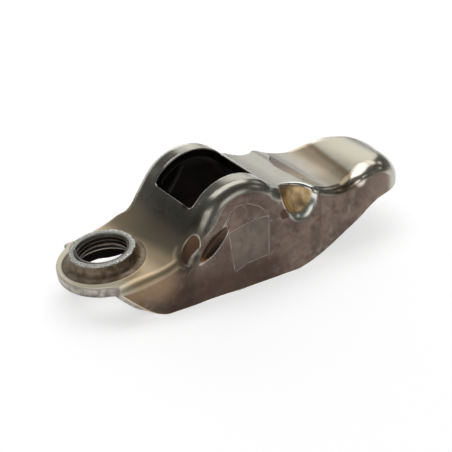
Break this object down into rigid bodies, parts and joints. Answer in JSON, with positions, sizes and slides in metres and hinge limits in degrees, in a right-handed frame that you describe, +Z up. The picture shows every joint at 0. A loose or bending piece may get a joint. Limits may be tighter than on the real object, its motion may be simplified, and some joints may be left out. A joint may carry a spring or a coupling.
{
  "type": "rocker arm",
  "caption": "Pressed steel rocker arm: an open channel with a round fulcrum hump and stud window, a tapped collar at one end and a convex valve pad at the other.",
  "frame": {"origin": "on the surface that the rims stand on, midway between the lip's end and the nose, in the arm's plane of symmetry", "axes": "+X towards the valve pad, +Y across the arm along the fulcrum axis, +Z up from the rims to the hump"},
  "size_m": [0.0734, 0.0246, 0.021],
  "materials": {
    "steel": "heat-tinted pressed steel, burnished on the hump and the pad"
  },
  "bodies": {
    "root": {"rocker_arm": "steel"}
  },
  "joints": []
}
